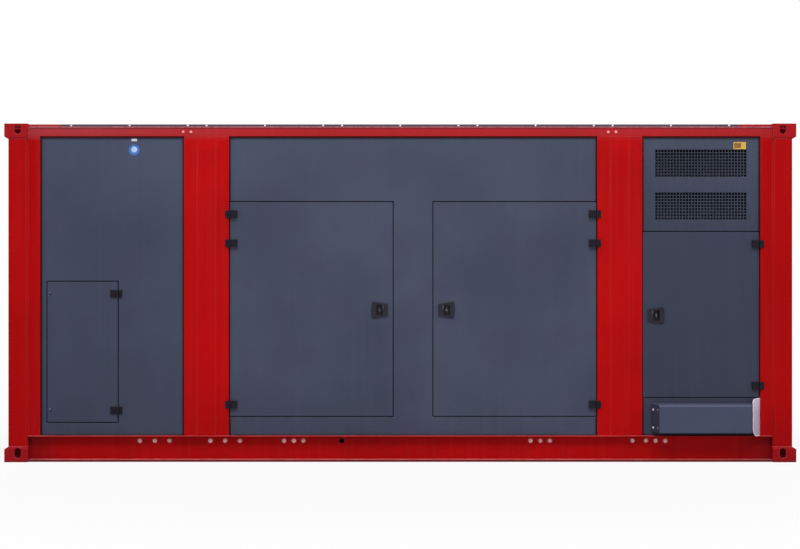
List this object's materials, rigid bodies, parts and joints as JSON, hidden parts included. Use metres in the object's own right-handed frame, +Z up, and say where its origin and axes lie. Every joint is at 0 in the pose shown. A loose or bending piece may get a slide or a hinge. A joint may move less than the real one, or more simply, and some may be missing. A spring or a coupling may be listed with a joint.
{
  "type": "containerised generator set enclosure",
  "caption": "Twenty-foot steel generator set enclosure with corner castings, hinged service doors, hatch, mesh air grilles, cable hood and removable roof panels.",
  "frame": {"origin": "on the ground plane, midway between the four bottom casting slots", "axes": "+X along the length, to the right when facing the service side; +Z up; the service side faces -Y"},
  "size_m": [6.058, 2.518, 2.591],
  "materials": {
    "frame_red": "satin",
    "panel_grey": "satin",
    "lining": "matte",
    "fitting_black": "satin",
    "flap_pale": "satin",
    "latch_black_zinc": "satin"
  },
  "bodies": {
    "enclosure": {"bottom_castings": "frame_red", "top_castings": "frame_red", "corner_posts": "frame_red", "bottom_side_rails": "frame_red", "bottom_end_rails": "frame_red", "top_side_rails": "frame_red", "top_end_rails": "frame_red", "cross_members": "frame_red", "roof_headers": "frame_red", "left_bands": "frame_red", "right_bands": "frame_red", "floor_plate": "panel_grey", "roof_panels": "panel_grey", "left_bay_panels": "panel_grey", "door_headers": "panel_grey", "centre_posts": "panel_grey", "door_sills": "panel_grey", "louvre_panels": "panel_grey", "lower_panels": "panel_grey", "end_walls": "panel_grey", "upper_grilles": "panel_grey", "lower_grilles": "panel_grey", "left_end_grilles": "panel_grey", "right_end_grilles": "panel_grey", "door_frames": "panel_grey", "cable_hood": "panel_grey", "back_doors": "panel_grey", "grille_baffles": "lining", "roof_lining": "lining", "wall_lining": "lining", "frame_hinges": "fitting_black", "back_door_fittings": "fitting_black", "hood_flap": "flap_pale"},
    "hatch": {"hatch_door": "panel_grey", "hatch_lining": "lining", "hatch_hinges": "fitting_black"},
    "left_door_leaf": {"left_door": "panel_grey", "left_door_lining": "lining", "left_door_hinges": "fitting_black", "left_handle": "fitting_black"},
    "left_turn_latch": {"left_latch": "latch_black_zinc"},
    "right_door_leaf": {"right_door": "panel_grey", "right_door_lining": "lining", "right_door_hinges": "fitting_black", "right_handle": "fitting_black"},
    "right_turn_latch": {"right_latch": "latch_black_zinc"},
    "service_door_leaf": {"service_door": "panel_grey", "service_door_lining": "lining", "service_door_hinges": "fitting_black", "service_handle": "fitting_black"},
    "service_turn_latch": {"service_latch": "latch_black_zinc"}
  },
  "joints": [
    {"name": "hatch_hinge", "type": "hinge", "parent": "enclosure", "child": "hatch", "pos_m": [-2.167, -1.191, 0.8415], "axis": [0, 0, 1], "range_deg": [0, 110]},
    {"name": "left_door_hinge", "type": "hinge", "parent": "enclosure", "child": "left_door_leaf", "pos_m": [-1.312, -1.203, 1.1705], "axis": [0, 0, -1], "range_deg": [0, 110]},
    {"name": "right_door_hinge", "type": "hinge", "parent": "enclosure", "child": "right_door_leaf", "pos_m": [1.509, -1.203, 1.1705], "axis": [0, 0, 1], "range_deg": [0, 110]},
    {"name": "service_door_hinge", "type": "hinge", "parent": "enclosure", "child": "service_door_leaf", "pos_m": [2.76, -1.203, 1.128], "axis": [0, 0, 1], "range_deg": [0, 110]},
    {"name": "left_latch_turn", "type": "hinge", "parent": "left_door_leaf", "child": "left_turn_latch", "pos_m": [-0.159, -1.169, 1.1635], "axis": [0, 1, 0], "range_deg": [0, 90]},
    {"name": "right_latch_turn", "type": "hinge", "parent": "right_door_leaf", "child": "right_turn_latch", "pos_m": [0.356, -1.169, 1.1635], "axis": [0, -1, 0], "range_deg": [0, 90]},
    {"name": "service_latch_turn", "type": "hinge", "parent": "service_door_leaf", "child": "service_turn_latch", "pos_m": [1.965, -1.169, 1.121], "axis": [0, -1, 0], "range_deg": [0, 90]}
  ]
}
